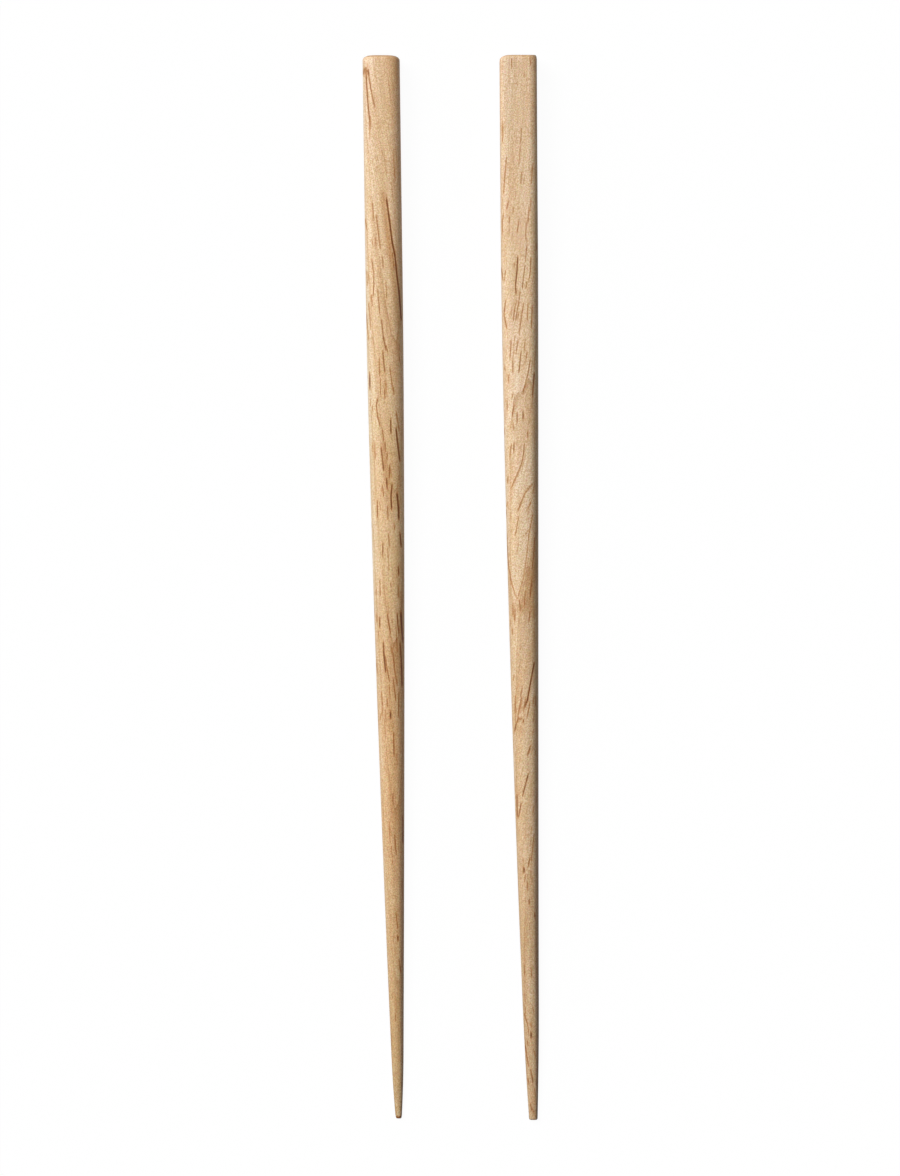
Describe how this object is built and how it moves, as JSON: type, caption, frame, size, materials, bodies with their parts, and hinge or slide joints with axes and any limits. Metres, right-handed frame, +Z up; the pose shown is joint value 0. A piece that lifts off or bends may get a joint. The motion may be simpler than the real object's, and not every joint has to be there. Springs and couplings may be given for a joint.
{
  "type": "pair of chopsticks",
  "caption": "Slim tapered wooden chopsticks for eating, with rounded-square handles that turn round towards thin blunt tips, lying side by side.",
  "frame": {"origin": "on the surface that the sticks lie on, under the middle of the pair's box", "axes": "+X from the left stick to the right one, +Y along the sticks towards their thick ends, +Z up"},
  "size_m": [0.0382, 0.23, 0.008],
  "materials": {
    "left_wood": "sanded, unvarnished",
    "right_wood": "sanded, unvarnished"
  },
  "bodies": {
    "root": {"left_chopstick": "left_wood", "right_chopstick": "right_wood"}
  },
  "joints": []
}
